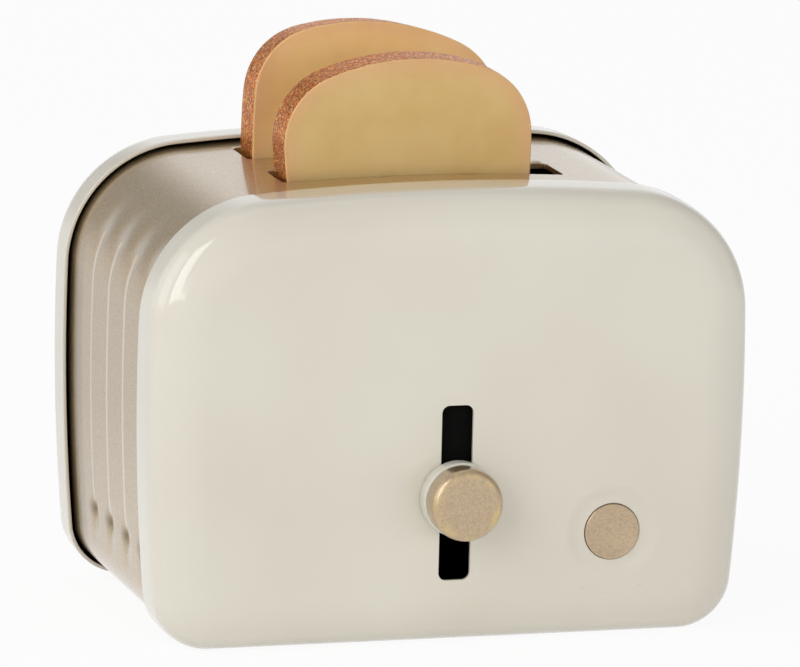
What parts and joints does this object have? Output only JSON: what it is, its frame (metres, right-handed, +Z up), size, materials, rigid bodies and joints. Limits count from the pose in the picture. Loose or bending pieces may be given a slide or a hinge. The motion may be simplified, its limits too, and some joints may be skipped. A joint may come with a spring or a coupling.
{
  "type": "toy toaster",
  "caption": "Doll's-house toaster: two pressed covers around a creased metal band, a round friction lever that lifts slices of toast, and a push button.",
  "frame": {"origin": "middle of the toaster's box, on the surface it stands on", "axes": "+X to the right seen from the front, +Y to the back, +Z up"},
  "size_m": [0.081, 0.066, 0.0761],
  "materials": {
    "cover_enamel": "gloss",
    "band_paint": "satin metallic",
    "fitting_paint": "satin metallic",
    "clear_nylon": "satin",
    "toasted_bread": "painted, with a glitter crust",
    "blackened_steel": "matt",
    "plated_steel": "satin"
  },
  "bodies": {
    "housing": {"front_cover": "cover_enamel", "rear_cover": "cover_enamel", "body_band": "band_paint", "seam_plate": "plated_steel", "seam_rivets": "plated_steel", "tie_posts": "plated_steel", "cover_screws": "plated_steel", "left_guide_rail": "blackened_steel", "right_guide_rail": "blackened_steel", "button_bridge": "plated_steel"},
    "carriage": {"lever_knob": "fitting_paint", "knob_washer": "clear_nylon", "lever_stem": "plated_steel", "wave_washer": "plated_steel", "slider_plate": "blackened_steel", "stem_nut": "plated_steel", "carrier_arm": "plated_steel", "arm_rivets": "plated_steel", "front_cradle": "plated_steel", "rear_cradle": "plated_steel", "cradle_rivets": "plated_steel"},
    "front_slice": {"front_toast": "toasted_bread"},
    "rear_slice": {"rear_toast": "toasted_bread"},
    "button": {"button_cap": "fitting_paint", "button_stem": "plated_steel", "button_clip": "plated_steel", "button_spring": "plated_steel"}
  },
  "joints": [
    {"name": "lever_slide", "type": "slide", "parent": "housing", "child": "carriage", "axis": [0, 0, 1], "range_m": [-0.0091, 0.0101]},
    {"name": "front_toast_lift", "type": "slide", "parent": "carriage", "child": "front_slice", "axis": [-0.0436, 0, 0.999], "range_m": [0, 0.03]},
    {"name": "rear_toast_lift", "type": "slide", "parent": "carriage", "child": "rear_slice", "axis": [0.1097, 0.0866, 0.9902], "range_m": [0, 0.03]},
    {"name": "button_push", "type": "slide", "parent": "housing", "child": "button", "axis": [0, 1, 0], "range_m": [0, 0.0012], "stiffness_N_per_m": 400, "deforming": ["button_spring"]}
  ]
}
